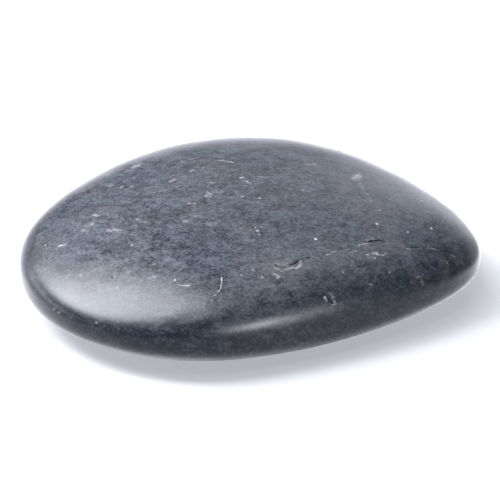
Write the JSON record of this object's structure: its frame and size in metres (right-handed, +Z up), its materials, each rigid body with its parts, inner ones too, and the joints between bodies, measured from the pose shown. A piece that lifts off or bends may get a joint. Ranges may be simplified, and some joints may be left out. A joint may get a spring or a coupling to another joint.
{
  "type": "river pebble",
  "caption": "Flat, egg-shaped river pebble of dark blue-grey basalt, worn satin smooth, with a fine crack, small pits and pale flecks.",
  "frame": {"origin": "on the surface the stone rests on, under the middle of its outline", "axes": "+X along the stone to its narrow tip, +Y across it, +Z up out of the crown"},
  "size_m": [0.0798, 0.0608, 0.0184],
  "materials": {
    "basalt": "water-worn satin, dark blue-grey with a fine pale mottle"
  },
  "bodies": {
    "root": {"pebble": "basalt"}
  },
  "joints": []
}
